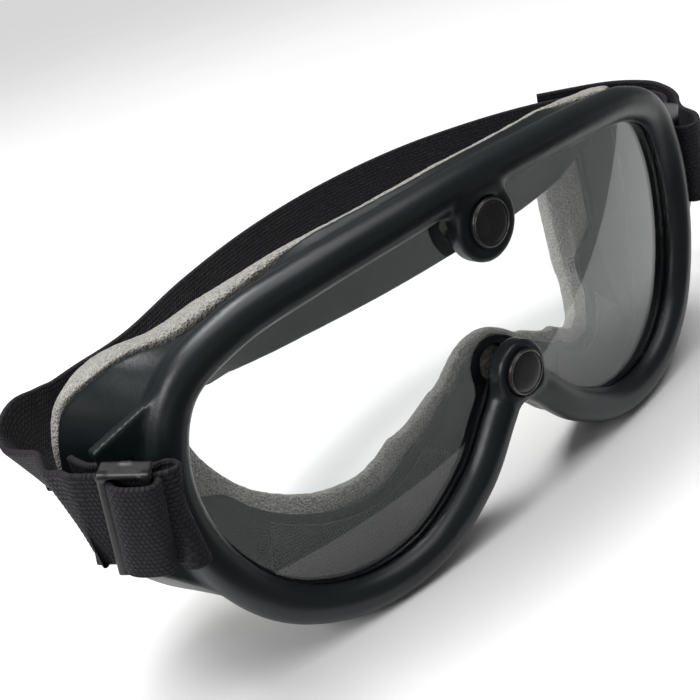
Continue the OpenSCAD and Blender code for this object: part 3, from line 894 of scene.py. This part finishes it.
# ---------------------------------------------------------------- slide
def slide_mesh():
    """Tri-glide in its own axes: along the webbing, out of its face, and up."""
    h = 0.25
    deep = STRAP_T / 2 + 0.3            # from the middle of the webbing to a bar
    lo, hi = np.array([-6.5, -4.0, -14.0]), np.array([6.5, 4.0, 14.0])
    ax = [lo[i] + h * np.arange(int((hi[i] - lo[i]) / h) + 1) for i in range(3)]
    x, y, z = np.meshgrid(*ax, indexing="ij")

    def block(cx, cy, cz, a, b, c, r):
        q = np.stack([abs(x - cx) - a + r, abs(y - cy) - b + r, abs(z - cz) - c + r])
        return np.minimum(q.max(0), 0) + np.sqrt((np.maximum(q, 0) ** 2).sum(0)) - r

    f = np.full(x.shape, 9.0)
    front_half, back_half = 0.95, 1.3   # half widths of the bars
    for s in (-1, 1):
        f = np.minimum(f, block(s * (SLIDE_LEN / 2 - front_half), deep + BAR_T / 2, 0,
                                front_half, BAR_T / 2, SLIDE_H / 2, 0.45))
        f = blend_union(f, block(0, 0, s * (SLIDE_H / 2 - RAIL_H / 2),
                                 SLIDE_LEN / 2, deep + BAR_T, RAIL_H / 2, 0.5), 0.6)
    f = blend_union(f, block(0, -deep - BAR_T / 2, 0, back_half, BAR_T / 2, SLIDE_H / 2, 0.45), 0.5)
    p, q = surface(f, lo, h)
    return smooth_points(p, q, 1, 0.4), q


def slide_space(p):
    """From the slide's own axes to the row frame."""
    return SLIDE_MID + np.asarray(p) @ SLIDE_AXES.T


p, q = slide_mesh()
buckle = mesh_piece("slide_buckle", slide_space(p), q, "slide", PLASTIC)
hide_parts("strap_slide")

# Webbing folded over the front bar nearer the lens: places along the slide and out of its face.
fold = np.array([(3.3, 0.7), (2.9, 1.7), (1.9, 3.1), (0.3, 3.7), (-1.8, 3.75), (-3.8, 3.6), (-5.2, 3.1),
                 (-5.9, 2.1), (-6.0, 1.0), (-5.7, 0.6)])
fold = even(open_curve(fold, 8), 0.25)
centre = slide_space(np.stack([fold[:, 0], fold[:, 1], np.zeros(len(fold))], 1))
ribbon("slide_webbing", centre, np.tile(W_AXIS, (len(fold), 1)), width=STRAP_W - 0.5, body="slide", start_mm=40)


# ---------------------------------------------------------------- floor and light
def stage():
    """A pale floor just under the goggles. Metres."""
    size = 25.0
    me = bpy.data.meshes.new("floor")
    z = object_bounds()[0].z - 0.0002
    n = 24
    a = np.linspace(-size, size, n + 1)
    pts = [(x, y, z) for x in a for y in a]
    f = [(i * (n + 1) + j, (i + 1) * (n + 1) + j, (i + 1) * (n + 1) + j + 1, i * (n + 1) + j + 1)
         for i in range(n) for j in range(n)]
    me.from_pydata(pts, [], f)
    m, nt, b = new_material("floor_paper", (0.93, 0.93, 0.93), 0.9)
    nt.links.new(ramp(nt, noise_node(nt, 6, 2), [(0.3, 0.925), (0.7, 0.945)]), b.inputs["Base Color"])
    b.inputs["Specular IOR Level"].default_value = 0.1
    me.materials.append(m)
    ob = bpy.data.objects.new("floor", me)
    bpy.context.scene.collection.objects.link(ob)
    ob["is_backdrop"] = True


def softbox(name, place, target, width, height, power):
    """A rectangular light at place, turned to target. Metres and watts."""
    d = bpy.data.lights.new(name, "AREA")
    d.shape = "RECTANGLE"
    d.size, d.size_y, d.energy = width, height, power
    o = bpy.data.objects.new(name, d)
    bpy.context.scene.collection.objects.link(o)
    o.location = place
    o.rotation_euler = (Vector(target) - Vector(place)).to_track_quat("-Z", "Y").to_euler()


def flag():
    """A black card in front of the goggles that only reflections show, as a studio flag does. Metres."""
    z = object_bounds()[0].z + 0.0004
    me = bpy.data.meshes.new("flag")
    left, right, back = -0.40, 2.0, -2.0
    near_left, near_right = 0.004, -0.312       # where its straight edge starts and ends, in Y
    corners = [(left, near_left, z), (right, near_right, z), (right, back, z), (left, back, z)]
    me.from_pydata(corners, [], [(0, 3, 2, 1)])
    m, nt, b = new_material("flag_card", (0.01, 0.01, 0.01), 0.9)
    b.inputs["Specular IOR Level"].default_value = 0.0
    me.materials.append(m)
    ob = bpy.data.objects.new("flag", me)
    bpy.context.scene.collection.objects.link(ob)
    ob.visible_camera = ob.visible_diffuse = ob.visible_shadow = ob.visible_transmission = False
    ob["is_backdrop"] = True


stage()
flag()
world = bpy.data.worlds.new("studio")
world.use_nodes = True
background = world.node_tree.nodes["Background"].inputs
background["Color"].default_value = (1, 1, 1, 1)
background["Strength"].default_value = 0.14
bpy.context.scene.world = world
softbox("top_softbox", (-0.15, 0.35, 1.15), (0, 0, 0), 0.6, 0.35, 7.5)
softbox("left_softbox", (-0.80, -0.10, 0.50), (-0.05, 0, 0), 0.2, 0.45, 3.2)
# A wide, even panel straight above.
sun = bpy.data.lights.new("sky_panel", "SUN")
sun.energy, sun.angle = 1.9, math.radians(60)
sun_object = bpy.data.objects.new("sky_panel", sun)
bpy.context.scene.collection.objects.link(sun_object)
bpy.context.scene.view_settings.view_transform = "Standard"
